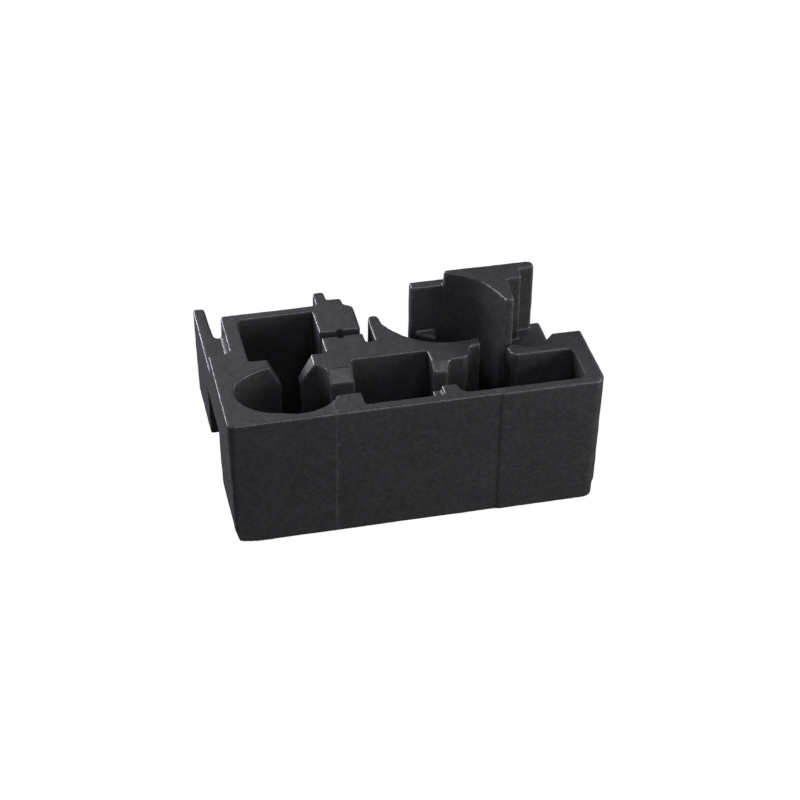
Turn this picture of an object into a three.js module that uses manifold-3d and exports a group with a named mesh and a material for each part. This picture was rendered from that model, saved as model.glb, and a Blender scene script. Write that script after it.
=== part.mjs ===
// Moulded bead-foam insert tray: four mouldings that stand side by side.
// Millimetres, +Z up. The origin is the centre of the bounding box, on the base.
// Plan coordinates below are measured from the front left corner of the tray:
// X to the right along the front face, Y to the rear, Z from the main top face,
// so that everything inside the tray has a negative Z.
import * as THREE from 'three';
import { mergeVertices } from 'three/addons/utils/BufferGeometryUtils.js';
import Module from 'manifold-3d';

// ---- driving dimensions ----
const RIGHT_X = 403.9;       // right face; the front is 407 long
const LEFT_X = -3.1;         // left face at the top
const FRONT_Y = -1.6;        // front face of the left and centre blocks
const RIGHT_PROUD = 1.3;     // the right block stands this far forward of them
const CORNER_LEFT_R = 8;     // upright corner at the front left
const CORNER_RIGHT_R = 12;   // upright corner at the front right
const BODY_H = 157.5;        // base to main top face
const TALL_H = 57.4;         // tall support above the main top face
const PANEL_H = 39.8;        // lower panel beside the tall support
const ARM_DROP = 25.8;       // arm's top below the main top face
const FINGER_Y = 225.6;      // rear end of the finger on the rear arm
const WING_DROP = 23.3;      // side wing's top below the main top face
const WING_REAR = 254.6;     // rear end of the side wing
const WING_BOTTOM = -134.5;  // underside of the side wing
const WING_FRONT = 166.5;    // the wing hangs free behind this line
const STEP_Y = 128.4;        // the main top ends here beside the wing
const NOTCH_Y = 86;          // the front part of the left side ends here, low down
const NOTCH_Z = -69;         // underside of the left side between the two
const RIM = 9;               // front rim thickness
const FLOOR = 14;            // pocket floor thickness
const SEAM_FRONT_LEFT = 111.8;   // joint between left and centre blocks, at the front
const SEAM_RIGHT = 290.0;    // joint between centre and right blocks
const DRAFT = 0.027;         // the left end wall leans in by this much of its height
const DRAFT_RIGHT = 0.016;   // and the right end wall by this much
const GAP = 0.3;             // clearance between neighbouring mouldings
const SLOT_Y0 = 137;         // keyed slot, front side
const SLOT_Y1 = 148;         // keyed slot, rear side
const CHANNEL_D = 46;        // depth of the tool channel
const ARC_C = [268, 181];    // centre of the rear arc between the two horns
const ARC_R = 80.2;

const FLOOR_Z = -BODY_H + FLOOR;

const wasm = await Module();
wasm.setup();

function toSolid(geometry) {
  const g = geometry.clone();
  g.deleteAttribute('normal');
  g.deleteAttribute('uv');
  const m = mergeVertices(g, 1e-4);
  return new wasm.Manifold(new wasm.Mesh({
    numProp: 3,
    vertProperties: new Float32Array(m.attributes.position.array),
    triVerts: new Uint32Array(m.index.array),
  }));
}

function toGeometry(solid) {
  const mesh = solid.getMesh();
  const g = new THREE.BufferGeometry();
  const n = mesh.numProp;
  const pos = new Float32Array((mesh.vertProperties.length / n) * 3);
  for (let i = 0; i < pos.length / 3; i += 1) {
    for (let k = 0; k < 3; k += 1) pos[i * 3 + k] = mesh.vertProperties[i * n + k];
  }
  g.setAttribute('position', new THREE.BufferAttribute(pos, 3));
  g.setIndex(new THREE.BufferAttribute(new Uint32Array(mesh.triVerts), 1));
  g.computeVertexNormals();
  return g;
}

function shapeOf(points) {
  const pts = points.map((p) => new THREE.Vector2(p[0], p[1]));
  if (THREE.ShapeUtils.area(pts) < 0) pts.reverse();
  return new THREE.Shape(pts);
}

// upright prism from a plan outline
function prism(points, z0, z1) {
  const g = new THREE.ExtrudeGeometry(shapeOf(points), { depth: z1 - z0, bevelEnabled: false });
  g.translate(0, 0, z0);
  return toSolid(g);
}

// prism along X from a (Y, Z) outline
function prismX(points, x0, x1) {
  const g = new THREE.ExtrudeGeometry(shapeOf(points), { depth: x1 - x0, bevelEnabled: false });
  g.applyMatrix4(new THREE.Matrix4().makeBasis(
    new THREE.Vector3(0, 1, 0), new THREE.Vector3(0, 0, 1), new THREE.Vector3(1, 0, 0)));
  g.translate(x0, 0, 0);
  return toSolid(g);
}

// prism along Y from an (X, Z) outline
function prismY(points, y0, y1) {
  const g = new THREE.ExtrudeGeometry(shapeOf(points), { depth: y1 - y0, bevelEnabled: false });
  g.applyMatrix4(new THREE.Matrix4().makeBasis(
    new THREE.Vector3(1, 0, 0), new THREE.Vector3(0, 0, 1), new THREE.Vector3(0, -1, 0)));
  g.translate(0, y1, 0);
  return toSolid(g);
}

const rect = (x0, y0, x1, y1) => [[x0, y0], [x1, y0], [x1, y1], [x0, y1]];

// rectangle with rounded corners, r given for each corner from the front left, anticlockwise
function roundRect(x0, y0, x1, y1, r) {
  const c = [[x0, y0, Math.PI], [x1, y0, 1.5 * Math.PI], [x1, y1, 0], [x0, y1, 0.5 * Math.PI]];
  const out = [];
  c.forEach(([x, y, a0], i) => {
    const q = r[i];
    const cx = x + (i === 0 || i === 3 ? q : -q);
    const cy = y + (i < 2 ? q : -q);
    for (let k = 0; k <= 5; k += 1) {
      const a = a0 + (k / 5) * 0.5 * Math.PI;
      out.push([cx + q * Math.cos(a), cy + q * Math.sin(a)]);
    }
  });
  return out;
}

// quarter circle about (cx, cy), anticlockwise from the angle a0
function quarter(cx, cy, r, a0) {
  const out = [];
  for (let i = 0; i <= 6; i += 1) {
    const a = a0 + (i / 6) * 0.5 * Math.PI;
    out.push([cx + r * Math.cos(a), cy + r * Math.sin(a)]);
  }
  return out;
}

function smooth(points, count, closed) {
  const c = new THREE.CatmullRomCurve3(
    points.map((p) => new THREE.Vector3(p[0], p[1], 0)), closed, 'centripetal');
  const pts = c.getPoints(count).map((v) => [v.x, v.y]);
  if (closed) pts.pop();
  return pts;
}

// point on the rear arc at a given X
const arcY = (x) => ARC_C[1] - Math.sqrt(ARC_R * ARC_R - (x - ARC_C[0]) * (x - ARC_C[0]));

function arcPoints(x0, x1, n) {
  const a0 = Math.atan2(arcY(x0) - ARC_C[1], x0 - ARC_C[0]);
  const a1 = Math.atan2(arcY(x1) - ARC_C[1], x1 - ARC_C[0]);
  const out = [];
  const from = a0 > 0 ? a0 - 2 * Math.PI : a0;
  const to = a1 > 0 ? a1 - 2 * Math.PI : a1;
  for (let i = 0; i <= n; i += 1) {
    const a = from + ((to - from) * i) / n;
    out.push([ARC_C[0] + ARC_R * Math.cos(a), ARC_C[1] + ARC_R * Math.sin(a)]);
  }
  return out;
}

// ---- left and centre blocks share one outline before they are parted ----
const trayOutline = [
  ...quarter(LEFT_X + CORNER_LEFT_R, FRONT_Y + CORNER_LEFT_R, CORNER_LEFT_R, Math.PI),
  [SEAM_RIGHT - GAP / 2, FRONT_Y], [SEAM_RIGHT - GAP / 2, 104.0],
  ...arcPoints(289, 193.4, 26),
  [192.8, 159.6], [191.9, 164.4], [189, 167.8], [184.6, 168.2], [181, 165.8], [179.6, 161],
  [179.2, 120.6], [168.7, 120.6],
  [168.7, 189.4], [167.4, 191.6], [164, 193.8], [159.2, 197], [158.4, 207.4], [157, 209.4],
  [143.8, 209.8], [142.6, 211.6], [142.2, 223.6], [140.8, FINGER_Y], [131, FINGER_Y], [129.6, 224],
  [129.4, 200.8], [24, 200.8], [21.4, 198.4],
  [21, 135.6], [19.6, 132.4], [16.4, 130.6], [10, 129.8], [0, STEP_Y], [LEFT_X, STEP_Y],
];

// the side wing and the web that joins it to the body
const wingOutline = [
  [LEFT_X, 110], [LEFT_X, WING_REAR - 2], [LEFT_X + 2, WING_REAR], [8.8, WING_REAR], [10.6, WING_REAR - 2.6],
  [12.6, 200.4], [13.6, 196.4], [15.6, 194.6], [18, 194.1], [23, 193.8], [23, 110],
];

// oval pocket
const ovalPocket = smooth([
  [14, 55], [16.8, 41.6], [25, 29], [35.4, 20.8], [45, 16.4], [54.6, 13.6], [64.5, 10.8], [75, RIM - 0.6],
  [87.2, 9.6], [95, 11.6], [103.6, 15.4], [112.6, 22.6], [118, 30.6], [118.2, 52], [117.4, 77],
  [113, 85], [106, 90.6], [92, 95], [75, 96.5], [58, 95], [45, 91], [32, 84.2], [21.6, 75.4], [16, 66],
], 72, true);

const rearPocket = roundRect(38, 110, 122.5, 190, [3, 3, 3, 3]);
const centrePocket = roundRect(145, RIM + 1, 230, 91, [3, 2, 3, 3]);

// right pocket, ending against the curved wall of the tall support
const rightPocketLeftPart = [
  [SEAM_RIGHT + 1, RIM], [258, RIM], [251.6, 11.4], [247.8, 17], [246.4, 25],
  [246.4, 62], [250, 69.6], [267, 71], [271.6, 74], [274.6, 83], [277.6, 89.2], [282, 90.4],
  [SEAM_RIGHT + 1, 90.4],
];

let tray = prism(trayOutline, -BODY_H, 0);
const cut = (solid, tool) => solid.subtract(tool);

tray = cut(tray, prism(ovalPocket, FLOOR_Z, 5));
tray = cut(tray, prism(rearPocket, FLOOR_Z, 5));
tray = cut(tray, prism(centrePocket, FLOOR_Z, 5));
tray = cut(tray, prism(rightPocketLeftPart, FLOOR_Z, 5));

// throat between the oval and rear pockets: a V above a narrow slot
tray = cut(tray, prismY([
  [57.5, 5], [57.5, 0], [71, -27], [71, FLOOR_Z], [91, FLOOR_Z], [91, -27], [106, 0], [106, 5],
], 80, 114));

// tool channel through both dividing walls, with a ramp on its rear side
tray = cut(tray, prismX([[32, 5], [32, -CHANNEL_D], [64, -CHANNEL_D], [64, -10.5], [79, 0], [79, 5]], 112, 150));
tray = cut(tray, prismX([[25.4, 5], [25.4, -CHANNEL_D], [58.8, -CHANNEL_D], [58.8, -8], [70, 0], [70, 5]], 226, 252));
// small ledge at the front right corner of the centre pocket
tray = tray.add(prism(rect(220.5, RIM, 231, 25.4), FLOOR_Z - 1, -6));

// keyed slot across the rear arm
const keyHole = [];
for (let i = 0; i < 20; i += 1) {
  const a = (i / 20) * 2 * Math.PI;
  keyHole.push([144.5 + 4.4 * Math.cos(a), (SLOT_Y0 + SLOT_Y1) / 2 + 9.4 * Math.sin(a)]);
}
tray = cut(tray, prism(rect(119, SLOT_Y0, 170, SLOT_Y1), FLOOR_Z, 5));
tray = cut(tray, prism(keyHole, FLOOR_Z, 5));

// the body steps in behind the left face, low down
tray = cut(tray, prismX([
  [NOTCH_Y, -BODY_H - 5], [NOTCH_Y, NOTCH_Z - 4], [NOTCH_Y + 3.5, NOTCH_Z], [240, NOTCH_Z], [240, -BODY_H - 5],
], -20, 20));
// the wing runs back past the body and hangs clear of it behind the notch
let wing = prism(wingOutline, WING_BOTTOM, -WING_DROP);
wing = cut(wing, prismX([
  [100, -BODY_H - 5], [100, NOTCH_Z], [WING_FRONT, NOTCH_Z], [WING_FRONT, -BODY_H - 5],
], -20, 40));
wing = cut(wing, prism(rect(12.6, 100, 40, 260), -BODY_H - 5, NOTCH_Z));
tray = tray.add(wing);

// the left face leans in towards the base and ends in a chamfer
const leftAt = (z) => LEFT_X - DRAFT * z;
tray = cut(tray, prismY([
  [-14, 2], [LEFT_X, 2], [LEFT_X, 0], [leftAt(-139), -139], [5.4, -154.4], [22, -BODY_H],
  [22, -BODY_H - 5], [-14, -BODY_H - 5],
], -5, 260));
// the joint runs from the front seam through the pocket floors to the keyed slot
const jointPath = [
  [SEAM_FRONT_LEFT, -10], [SEAM_FRONT_LEFT, 52], [81, 52], [81, 126], [106, 142.5], [200, 142.5],
];
function offsetRegion(side) {
  const h = (GAP / 2) * side;
  const p = [
    [SEAM_FRONT_LEFT - h, -10], [SEAM_FRONT_LEFT - h, 52 - h], [81 - h, 52 - h],
    [81 - h, 126 + h], [106 - h, 142.5 + h], [175, 142.5 + h],
  ];
  return side > 0
    ? [...p, [175, 300], [-60, 300], [-60, -10]]
    : [...p, [175, 300], [420, 300], [420, -10]];
}
const leftBlock = tray.intersect(prism(offsetRegion(1), -BODY_H - 10, 20));
const centreBlock = tray.intersect(prism(offsetRegion(-1), -BODY_H - 10, 20));

// ---- right block ----
const fingerBack = smooth([
  [371.4, 94], [364.8, 87.4], [358, 80.2], [346, 76.4], [334, 78.8], [325, 83], [320, 81.4],
  [317.2, 74.6], [318.2, 67.4], [323.6, 62.7],
], 36, false);
const wallFace = [
  [315.3, 84.9], [311, 97.6], [304.2, 113.9], [296.6, 127.5], [287.7, 136.4], [273.2, 145.5],
  [265.2, 149.3], [252, 152.2], [240, 153.2],
];
const rightOutline = [
  [SEAM_RIGHT + GAP / 2, FRONT_Y - RIGHT_PROUD],
  [RIGHT_X, FRONT_Y - RIGHT_PROUD],
  [RIGHT_X, 92.4], [RIGHT_X - 1.4, 94],
  ...fingerBack.slice(0, 25), [314.4, 78], [307.4, 100], [SEAM_RIGHT + GAP / 2, 100],
];
let rightBlock = prism(rightOutline, -BODY_H, 0);
rightBlock = cut(rightBlock, prism([
  [SEAM_RIGHT - 2, RIM], [377.6, RIM], [382.6, 10.6], [385, 15], [385, 56], [383, 60.8], [377.6, 62.7],
  [323.6, 62.7], [318.2, 67.4], [317.2, 74.6], [315, 78.6], [310, 110], [SEAM_RIGHT - 2, 110],
], FLOOR_Z, 5));
// the right end wall and its rounded front corner lean in towards the base, with a small step low down
function outsideRightEnd(inset, z0, z1) {
  const x = RIGHT_X - inset;
  const y = FRONT_Y - RIGHT_PROUD;
  const r = CORNER_RIGHT_R;
  const g = new THREE.ExtrudeGeometry(shapeOf([
    [x - r, y - 20], [x - r, y],
    ...quarter(x - r, y + r, r, 1.5 * Math.PI),
    [x, 120], [x + 30, 120], [x + 30, y - 20],
  ]), { depth: z1 - z0, bevelEnabled: false });
  g.translate(0, 0, z0);
  g.applyMatrix4(new THREE.Matrix4().set(1, 0, DRAFT_RIGHT, 0, 0, 1, 0, 0, 0, 0, 1, 0, 0, 0, 0, 1));
  return toSolid(g);
}
rightBlock = cut(rightBlock, outsideRightEnd(0, -BODY_H - 5, 5));
rightBlock = cut(rightBlock, outsideRightEnd(1.6, -BODY_H - 5, -138.5));

// ---- tall support: curved wall, stepped back plate, lower panel and arm ----
const BACK_Y = 155;
const tallOutline = [
  [240, BACK_Y], [356.4, BACK_Y], [359.8, 153.8], [361.6, 151.4], [362.2, 148], [362.2, 142.8],
  [344.4, 142.8], [343, 125.6], [326, 125.6], [324.2, 87], [323, 85.2], [316.4, 84.9],
  ...smooth(wallFace, 26, false),
];
const armOutline = [
  [318, 100], [324.2, 95.4], [373.6, 95.4], [375.2, 97], [375.2, 152.4], [373.8, 154], [318, 154],
];
// the left edge of the curved wall leans outwards towards its base
let tall = prism(tallOutline, -BODY_H, TALL_H);
tall = cut(tall, prismY([
  [200, -BODY_H - 5], [245.4, -BODY_H - 5], [263.2, TALL_H + 2], [263.2, TALL_H + 10], [200, TALL_H + 10],
], 100, 200));
tall = tall.add(prism(rect(226.2, 153.6, 286, 165.8), -BODY_H, PANEL_H));
tall = tall.add(prism(armOutline, -BODY_H, -ARM_DROP));
tall = tall.add(prism([
  [231, 153], [234, 149], [248, 139.4], [251.4, 137], [252.6, 140], [254, 153],
], -BODY_H, -19));

// ---- scene graph ----
function material(color) {
  return new THREE.MeshStandardMaterial({ color, roughness: 0.72, metalness: 0.0 });
}
const tray3 = new THREE.Group();
function piece(name, solid, color) {
  const mesh = new THREE.Mesh(toGeometry(solid), material(color));
  mesh.name = name;
  tray3.add(mesh);
}
piece('left_block', leftBlock, 0x2b2c30);
piece('centre_block', centreBlock, 0x2a2b2f);
piece('right_block', rightBlock, 0x2b2c30);
piece('tall_support', tall, 0x292a2e);
tray3.position.set(-(LEFT_X + RIGHT_X) / 2, -(FRONT_Y - RIGHT_PROUD + WING_REAR) / 2, BODY_H);

const insert = new THREE.Group();
insert.add(tray3);
insert.updateMatrixWorld(true);

export default insert;
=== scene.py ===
"""Looks for the moulded bead-foam insert tray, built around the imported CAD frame.

Each CAD moulding is rebuilt as one closed mesh with rounded moulded edges, kept crisp along the joints.
Everything is in metres in the frame of the CAD.
"""
import math

import bmesh
import bpy
import numpy as np
from mathutils import Matrix, Vector


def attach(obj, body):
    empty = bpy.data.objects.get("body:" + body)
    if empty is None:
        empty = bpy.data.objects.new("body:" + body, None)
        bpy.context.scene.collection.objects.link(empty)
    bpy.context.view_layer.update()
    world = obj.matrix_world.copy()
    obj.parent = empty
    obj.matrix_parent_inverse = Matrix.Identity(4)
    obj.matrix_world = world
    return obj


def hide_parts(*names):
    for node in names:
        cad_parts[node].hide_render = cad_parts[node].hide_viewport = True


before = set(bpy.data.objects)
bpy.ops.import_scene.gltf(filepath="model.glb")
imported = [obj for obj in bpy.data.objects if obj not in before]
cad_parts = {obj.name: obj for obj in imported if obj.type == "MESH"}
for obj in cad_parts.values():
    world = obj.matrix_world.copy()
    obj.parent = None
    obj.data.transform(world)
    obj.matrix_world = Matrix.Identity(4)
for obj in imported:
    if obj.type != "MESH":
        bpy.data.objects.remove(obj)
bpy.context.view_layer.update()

# The plan drawing's corner, where the front left of the top face sits in this frame.
ORIGIN = np.array([-0.2004, -0.12585, 0.1575])
VOXEL = 0.0012
MOST_TRIANGLES = 190000
ROUND_PASSES = 5
PIECES = ["left_block", "centre_block", "right_block", "tall_support"]


# ---------------------------------------------------------------- meshes
# plan lines of the joints between mouldings, in millimetres from the drawing's corner
JOINTS = [
    ((111.8, -10), (111.8, 52)), ((111.8, 52), (81, 52)), ((81, 52), (81, 126)),
    ((81, 126), (106, 142.5)), ((106, 142.5), (175, 142.5)), ((290.0, -10), (290.0, 104)),
]
SHUT = 0.03          # half the left joint's gap, which is pressed almost shut
OPEN = 0.12          # half the right joint's gap
REGIONS = {
    "left_block": [(111.8 - SHUT, -30), (111.8 - SHUT, 52 - SHUT), (81 - SHUT, 52 - SHUT), (81 - SHUT, 126 + SHUT),
                   (106 - SHUT, 142.5 + SHUT), (175, 142.5 + SHUT), (175, 300), (-60, 300), (-60, -30)],
    "centre_block": [(111.8 + SHUT, -30), (111.8 + SHUT, 52 + SHUT), (81 + SHUT, 52 + SHUT), (81 + SHUT, 126 - SHUT),
                     (106 + SHUT, 142.5 - SHUT), (175, 142.5 - SHUT), (175, 300), (290 - OPEN, 300), (290 - OPEN, -30)],
    "right_block": [(290 + OPEN, -30), (290 + OPEN, 300), (460, 300), (460, -30)],
}


def cad_copy(node):
    """A copy of a CAD node with its joint faces pushed just past the joint, so that neighbours can be merged."""
    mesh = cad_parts[node].data.copy()
    bm = bmesh.new()
    bm.from_mesh(mesh)
    bmesh.ops.remove_doubles(bm, verts=bm.verts, dist=2e-5)
    for v in bm.verts:
        p = (np.array(v.co[:2]) - ORIGIN[:2]) * 1000.0
        best, foot = 1e9, None
        for a, b in JOINTS:
            a, b = np.array(a, float), np.array(b, float)
            d = b - a
            f = a + min(max(((p - a) @ d) / (d @ d), 0.0), 1.0) * d
            if np.linalg.norm(p - f) < best:
                best, foot = np.linalg.norm(p - f), f
        if 1e-6 < best < 0.3:
            q = (foot - (p - foot) / best * 0.05) / 1000.0 + ORIGIN[:2]
            v.co[0], v.co[1] = q
    bm.to_mesh(mesh)
    bm.free()
    obj = bpy.data.objects.new("tmp_" + node, mesh)
    bpy.context.scene.collection.objects.link(obj)
    return obj


def applied(obj, mod):
    """The object's mesh with this one modifier applied; the modifier is taken off again."""
    dg = bpy.context.evaluated_depsgraph_get()
    new = bpy.data.meshes.new_from_object(obj.evaluated_get(dg))
    obj.modifiers.remove(mod)
    return new


def boolean(obj, other, operation):
    mod = obj.modifiers.new("bool", "BOOLEAN")
    mod.operation = operation
    mod.solver = "MANIFOLD"
    mod.object = other
    obj.data = applied(obj, mod)


def voxelised(obj):
    mod = obj.modifiers.new("remesh", "REMESH")
    mod.mode = "VOXEL"
    mod.voxel_size = VOXEL
    mod.adaptivity = 0.0
    obj.data = applied(obj, mod)


def prism(name, outline):
    """An upright block with this plan outline, tall enough to pass right through the tray."""
    pts = [((x / 1000.0 + ORIGIN[0]), (y / 1000.0 + ORIGIN[1])) for x, y in outline]
    area2 = sum(x0 * y1 - x1 * y0 for (x0, y0), (x1, y1) in zip(pts, pts[1:] + pts[:1]))
    if area2 < 0:
        pts.reverse()
    bm = bmesh.new()
    low = [bm.verts.new((x, y, -0.05)) for x, y in pts]
    high = [bm.verts.new((x, y, 0.30)) for x, y in pts]
    bm.faces.new(low[::-1])
    bm.faces.new(high)
    for i in range(len(pts)):
        j = (i + 1) % len(pts)
        bm.faces.new((low[i], low[j], high[j], high[i]))
    bmesh.ops.triangulate(bm, faces=bm.faces[:])
    mesh = bpy.data.meshes.new(name)
    bm.to_mesh(mesh)
    bm.free()
    obj = bpy.data.objects.new(name, mesh)
    bpy.context.scene.collection.objects.link(obj)
    return obj


def relax(mesh, rounds, strength):
    """Rounds edges by Laplacian relaxation. strength is one weight per vertex, 0 keeps a vertex where it is."""
    n = len(mesh.vertices)
    co = np.empty(n * 3)
    mesh.vertices.foreach_get("co", co)
    co = co.reshape(-1, 3)
    e = np.empty(len(mesh.edges) * 2, np.int64)
    mesh.edges.foreach_get("vertices", e)
    a, b = e.reshape(-1, 2).T
    deg = np.bincount(a, minlength=n) + np.bincount(b, minlength=n)
    w = strength[:, None]
    for _ in range(rounds):
        avg = np.empty_like(co)
        for k in range(3):
            avg[:, k] = np.bincount(a, co[b, k], n) + np.bincount(b, co[a, k], n)
        avg /= deg[:, None]
        co += w * (avg - co)
    mesh.vertices.foreach_set("co", co.ravel())
    mesh.update()
    return co


def unevenness(co, seed):
    """A slow in-and-out of the skin, in metres, from a few plane waves. The same everywhere on each run."""
    rng = np.random.default_rng(seed)
    out = np.zeros(len(co))
    for wavelength, size in ((0.060, 0.00010), (0.034, 0.00008), (0.017, 0.00006), (0.009, 0.00004)):
        for _ in range(5):
            d = rng.normal(size=3)
            d *= 2 * math.pi / (wavelength * np.linalg.norm(d))
            out += size / math.sqrt(5) * np.sin(co @ d + rng.uniform(0, 2 * math.pi))
    return out


def thin_out(obj, most):
    """Merges small faces on the flats until the mesh has no more than this many triangles."""
    tris = sum(len(p.vertices) - 2 for p in obj.data.polygons)
    if tris <= most:
        return
    mod = obj.modifiers.new("thin", "DECIMATE")
    mod.decimate_type = "COLLAPSE"
    mod.ratio = most / tris
    dg = bpy.context.evaluated_depsgraph_get()
    new = bpy.data.meshes.new_from_object(obj.evaluated_get(dg))
    obj.modifiers.clear()
    obj.data = new


def mould(obj):
    """Gives a solid the rounded edges and slightly uneven skin of moulded foam."""
    voxelised(obj)
    mesh = obj.data
    n = len(mesh.vertices)
    relax(mesh, ROUND_PASSES, np.full(n, 0.5))
    co = relax(mesh, 2, np.full(n, 0.25))
    nor = np.empty(n * 3)
    mesh.vertex_normals.foreach_get("vector", nor)
    co = co + nor.reshape(-1, 3) * unevenness(co, 7)[:, None]
    co[:, 2] = np.maximum(co[:, 2], 0.0)      # nothing reaches through the floor
    mesh.vertices.foreach_set("co", co.ravel())
    mesh.update()


def keep_largest(obj):
    """Removes slivers that the parting leaves behind, so that each moulding is a single shell."""
    bm = bmesh.new()
    bm.from_mesh(obj.data)
    bm.verts.ensure_lookup_table()
    group = [-1] * len(bm.verts)
    sizes = []
    for start in bm.verts:
        if group[start.index] >= 0:
            continue
        k = len(sizes)
        group[start.index] = k
        stack, count = [start], 0
        while stack:
            v = stack.pop()
            count += 1
            for e in v.link_edges:
                w = e.other_vert(v)
                if group[w.index] < 0:
                    group[w.index] = k
                    stack.append(w)
        sizes.append(count)
    best = sizes.index(max(sizes))
    if len(sizes) > 1:
        bmesh.ops.delete(bm, geom=[v for v in bm.verts if group[v.index] != best], context="VERTS")
        bm.to_mesh(obj.data)
    bm.free()


def finished(obj, node):
    keep_largest(obj)
    thin_out(obj, MOST_TRIANGLES)
    obj.name = obj.data.name = "foam_" + node
    obj.data.polygons.foreach_set("use_smooth", np.ones(len(obj.data.polygons), bool))
    obj.data.set_sharp_from_angle(angle=math.radians(52))
    return obj


def build_all():
    """The tray is moulded as one body and then parted along its joints, so that its skin runs straight across them."""
    tray = cad_copy("left_block")
    for node in ("centre_block", "right_block"):
        other = cad_copy(node)
        boolean(tray, other, "UNION")
        bpy.data.objects.remove(other)
    mould(tray)
    out = []
    for node in ("left_block", "centre_block", "right_block"):
        part = tray.copy()
        part.data = tray.data.copy()
        bpy.context.scene.collection.objects.link(part)
        knife = prism("knife_" + node, REGIONS[node])
        boolean(part, knife, "INTERSECT")
        bpy.data.objects.remove(knife)
        out.append(finished(part, node))
    bpy.data.objects.remove(tray)
    tall = cad_copy("tall_support")
    mould(tall)
    out.append(finished(tall, "tall_support"))
    return out


# ---------------------------------------------------------------- material
def foam_material(name, seed):
    m = bpy.data.materials.new(name)
    m.use_nodes = True
    nt = m.node_tree
    N, L = nt.nodes, nt.links
    N.clear()
    out = N.new("ShaderNodeOutputMaterial")
    bs = N.new("ShaderNodeBsdfPrincipled")
    L.new(bs.outputs[0], out.inputs[0])
    tc = N.new("ShaderNodeTexCoord")
    off = N.new("ShaderNodeVectorMath"); off.operation = "ADD"
    off.inputs[1].default_value = (seed * 0.37, seed * 0.11, seed * 0.23)
    L.new(tc.outputs["Object"], off.inputs[0])

    def math_node(op, a, b=None, c=None, clamp=False):
        x = N.new("ShaderNodeMath"); x.operation = op; x.use_clamp = clamp
        for i, v in enumerate((a, b, c)):
            if v is None:
                continue
            if isinstance(v, (int, float)):
                x.inputs[i].default_value = v
            else:
                L.new(v, x.inputs[i])
        return x.outputs[0]

    def ramp(v, lo, hi, a, b):
        r = N.new("ShaderNodeMapRange"); r.interpolation_type = "SMOOTHSTEP"
        r.inputs["From Min"].default_value = lo; r.inputs["From Max"].default_value = hi
        r.inputs["To Min"].default_value = a; r.inputs["To Max"].default_value = b
        L.new(v, r.inputs["Value"])
        return r.outputs[0]

    # a slow wobble keeps the beads from looking like a regular tiling
    wob = N.new("ShaderNodeTexNoise"); wob.inputs["Scale"].default_value = 120.0
    wob.inputs["Detail"].default_value = 1.0
    L.new(off.outputs[0], wob.inputs["Vector"])
    wv = N.new("ShaderNodeVectorMath"); wv.operation = "MULTIPLY_ADD"
    wv.inputs[1].default_value = (0.0016,) * 3
    L.new(wob.outputs["Color"], wv.inputs[0]); L.new(off.outputs[0], wv.inputs[2])

    bead = N.new("ShaderNodeTexVoronoi"); bead.feature = "F1"
    bead.inputs["Scale"].default_value = 290.0          # beads of about 3.4 mm
    bead.inputs["Randomness"].default_value = 0.92
    L.new(wv.outputs[0], bead.inputs["Vector"])
    crease = N.new("ShaderNodeTexVoronoi"); crease.feature = "DISTANCE_TO_EDGE"
    crease.inputs["Scale"].default_value = 290.0
    crease.inputs["Randomness"].default_value = 0.92
    L.new(wv.outputs[0], crease.inputs["Vector"])
    line = ramp(crease.outputs["Distance"], 0.0, 0.11, 1.0, 0.0)

    # where the skin is well fused the creases fade out
    fuse = N.new("ShaderNodeTexNoise"); fuse.inputs["Scale"].default_value = 34.0
    fuse.inputs["Detail"].default_value = 3.0
    L.new(off.outputs[0], fuse.inputs["Vector"])
    open_ = ramp(fuse.outputs["Fac"], 0.36, 0.66, 0.3, 1.0)
    line = math_node("MULTIPLY", line, open_)

    fine = N.new("ShaderNodeTexNoise"); fine.inputs["Scale"].default_value = 2100.0
    fine.inputs["Detail"].default_value = 3.0; fine.inputs["Roughness"].default_value = 0.6
    L.new(off.outputs[0], fine.inputs["Vector"])
    broad = N.new("ShaderNodeTexNoise"); broad.inputs["Scale"].default_value = 11.0
    broad.inputs["Detail"].default_value = 4.0
    L.new(off.outputs[0], broad.inputs["Vector"])

    # colour: bead to bead, along the creases, slow patches, and a painted highlight lightening the convex edges
    sep = N.new("ShaderNodeSeparateColor"); L.new(bead.outputs["Color"], sep.inputs[0])
    v = ramp(sep.outputs[0], 0.0, 1.0, 0.86, 1.15)
    v = math_node("MULTIPLY", v, ramp(broad.outputs["Fac"], 0.3, 0.7, 0.93, 1.07))
    v = math_node("MULTIPLY", v, ramp(fine.outputs["Fac"], 0.3, 0.7, 0.95, 1.05))
    v = math_node("MULTIPLY", v, math_node("SUBTRACT", 1.0, math_node("MULTIPLY", line, 0.30)))
    geo = N.new("ShaderNodeNewGeometry")
    edge = ramp(geo.outputs["Pointiness"], 0.502, 0.53, 0.0, 1.0)
    # painted highlight: along convex edges the base colour is raised up to double; the same mask also makes those edges
    # glossier
    edge_highlight_and_gloss = math_node("MULTIPLY", edge, ramp(fuse.outputs["Fac"], 0.35, 0.7, 0.5, 1.0))
    v = math_node("MULTIPLY", v, math_node("ADD", 1.0, math_node("MULTIPLY", edge_highlight_and_gloss, 1.0)))
    col = N.new("ShaderNodeVectorMath"); col.operation = "SCALE"
    col.inputs[0].default_value = BASE
    L.new(v, col.inputs["Scale"])
    L.new(col.outputs[0], bs.inputs["Base Color"])

    # finish: fused skin has a low sheen, creases and worn patches are duller
    r = ramp(sep.outputs[1], 0.0, 1.0, ROUGH - 0.05, ROUGH + 0.06)
    r = math_node("ADD", r, math_node("MULTIPLY", line, 0.16))
    r = math_node("SUBTRACT", r, math_node("MULTIPLY", edge_highlight_and_gloss, 0.20), clamp=True)
    L.new(r, bs.inputs["Roughness"])
    bs.inputs["Specular IOR Level"].default_value = SPEC

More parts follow.
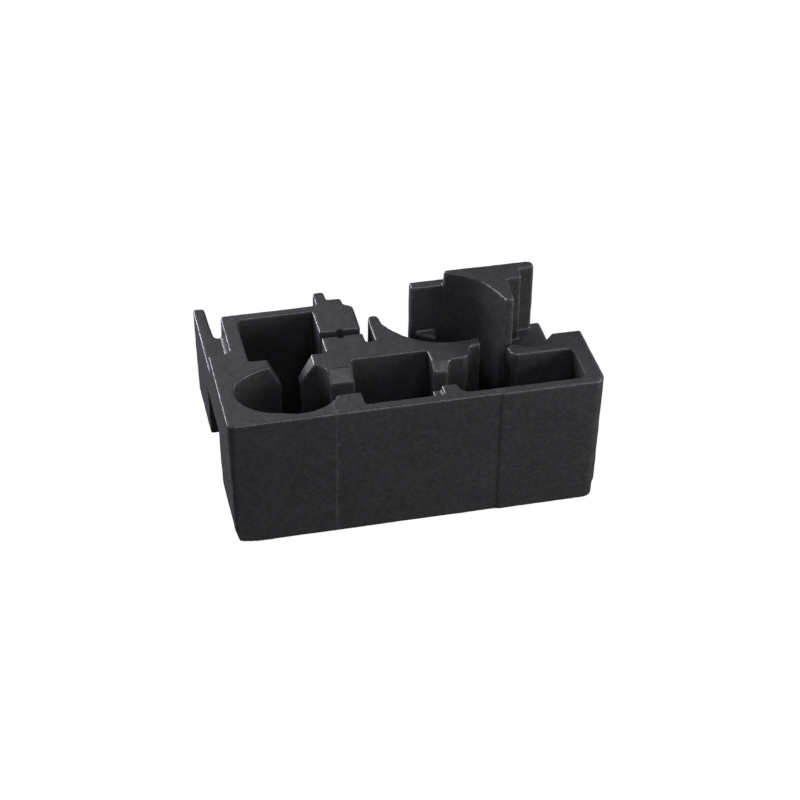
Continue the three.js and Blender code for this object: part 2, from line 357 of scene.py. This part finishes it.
    # relief: domed beads with creases between, and a fine grain
    dome = math_node("MULTIPLY", ramp(bead.outputs["Distance"], 0.0, 0.75, 1.0, 0.0), 0.35)
    h = math_node("SUBTRACT", dome, math_node("MULTIPLY", line, 0.75))
    h = math_node("ADD", h, math_node("MULTIPLY", fine.outputs["Fac"], 0.22))
    bump = N.new("ShaderNodeBump")
    bump.inputs["Strength"].default_value = 0.42
    bump.inputs["Distance"].default_value = 0.00022
    L.new(h, bump.inputs["Height"])
    L.new(bump.outputs[0], bs.inputs["Normal"])
    return m


BASE = (0.0212, 0.0211, 0.0224)
ROUGH = 0.38
SPEC = 0.30

for i, (node, o) in enumerate(zip(PIECES, build_all())):
    o.data.materials.clear()
    o.data.materials.append(foam_material("bead_foam_" + node, i + 1))
    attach(o, "root")
    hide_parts(node)

# ---------------------------------------------------------------- floor, light, camera
FLOOR_BOUNCE = 0.052
bm = bmesh.new()
bmesh.ops.create_grid(bm, x_segments=8, y_segments=8, size=6.0)
fm = bpy.data.meshes.new("floor")
bm.to_mesh(fm); bm.free()
floor = bpy.data.objects.new("floor", fm)
bpy.context.scene.collection.objects.link(floor)
mat = bpy.data.materials.new("floor_pale"); mat.use_nodes = True
# the camera sees an evenly lit white floor, and the object gets only a little light back from it
fn, fl = mat.node_tree.nodes, mat.node_tree.links
fb = fn["Principled BSDF"]
fb.inputs["Base Color"].default_value = (FLOOR_BOUNCE, FLOOR_BOUNCE, FLOOR_BOUNCE, 1)
fb.inputs["Roughness"].default_value = 0.9
fb.inputs["Specular IOR Level"].default_value = 0.0
glow = fn.new("ShaderNodeEmission"); glow.inputs[1].default_value = 1.0
path = fn.new("ShaderNodeLightPath")
mix = fn.new("ShaderNodeMixShader")
fl.new(path.outputs["Is Camera Ray"], mix.inputs[0])
fl.new(fb.outputs[0], mix.inputs[1]); fl.new(glow.outputs[0], mix.inputs[2])
fl.new(mix.outputs[0], fn["Material Output"].inputs[0])
fm.materials.append(mat)


def area(name, pos, target, size, power, color=(1, 1, 1)):
    d = bpy.data.lights.new(name, "AREA")
    d.shape = "RECTANGLE"; d.size, d.size_y = size
    d.energy = power; d.color = color
    o = bpy.data.objects.new(name, d)
    o.location = pos
    o.rotation_euler = (Vector(target) - Vector(pos)).to_track_quat("-Z", "Y").to_euler()
    bpy.context.scene.collection.objects.link(o)
    return o


# softboxes on a 2.6 m dome: direction round from the front towards the right, height, both in degrees, and power
LIGHTS = [
    (0, 12, 7.0),
    (30, 12, 4.7),
    (60, 12, 87.9),
    (210, 12, 48.8),
    (240, 12, 72.5),
    (250, 26, 33.5),
    (310, 26, 10.4),
    (135, 38, 8.0),
    (180, 38, 5.0),
    (20, 54, 19.5),
    (0, 76, 15.7),
]
SIZES = {12: (0.8, 0.6), 26: (0.6, 0.45), 38: (1.0, 1.0), 54: (0.7, 0.7), 60: (1.0, 1.0), 76: (1.0, 1.0)}
for turn, height, power in LIGHTS:
    a, e = math.radians(turn), math.radians(height)
    fill = height == 12 and turn < 90
    # the front right fill stands closer, so that it falls off across the front
    far = 1.5 if fill else 2.6
    area("softbox_%03d_%02d" % (turn, height),
         (far * math.cos(e) * math.sin(a), -far * math.cos(e) * math.cos(a), 0.1 + far * math.sin(e)),
         (0, 0, 0.1), SIZES[height], power * (far / 2.6) ** 2, (1, 1, 1) if fill else (1.0, 0.98, 1.11))
WORLD = 0.015
w = bpy.data.worlds.new("studio"); bpy.context.scene.world = w
w.use_nodes = True
w.node_tree.nodes["Background"].inputs[0].default_value = (1, 1, 1, 1)
w.node_tree.nodes["Background"].inputs[1].default_value = WORLD

cam_data = bpy.data.cameras.new("view")
cam_data.sensor_width = 36.0
cam_data.lens = 2058.6 / 800.0 * 36.0
cam_data.clip_end = 50.0
cam = bpy.data.objects.new("view", cam_data)


def euler_matrix(x, y, z):
    """Turns about fixed X, then Y, then Z."""
    return (Matrix.Rotation(z, 3, "Z") @ Matrix.Rotation(y, 3, "Y") @ Matrix.Rotation(x, 3, "X"))


to_view = euler_matrix(2.22413332, -0.187640773, -0.126372013)   # frame axes to (right, down, forward)
rot = to_view.transposed() @ Matrix(((1, 0, 0), (0, -1, 0), (0, 0, -1)))
pos = Vector((-0.2203, -1.6701, 1.2853)) + Vector(ORIGIN)
cam.matrix_world = Matrix.Translation(pos) @ rot.to_4x4()
bpy.context.scene.collection.objects.link(cam)
bpy.context.scene.camera = cam

sc = bpy.context.scene
sc.view_settings.view_transform = "Standard"
sc.view_settings.look = "None"
sc.view_settings.exposure = 0.0
sc.view_settings.gamma = 1.0
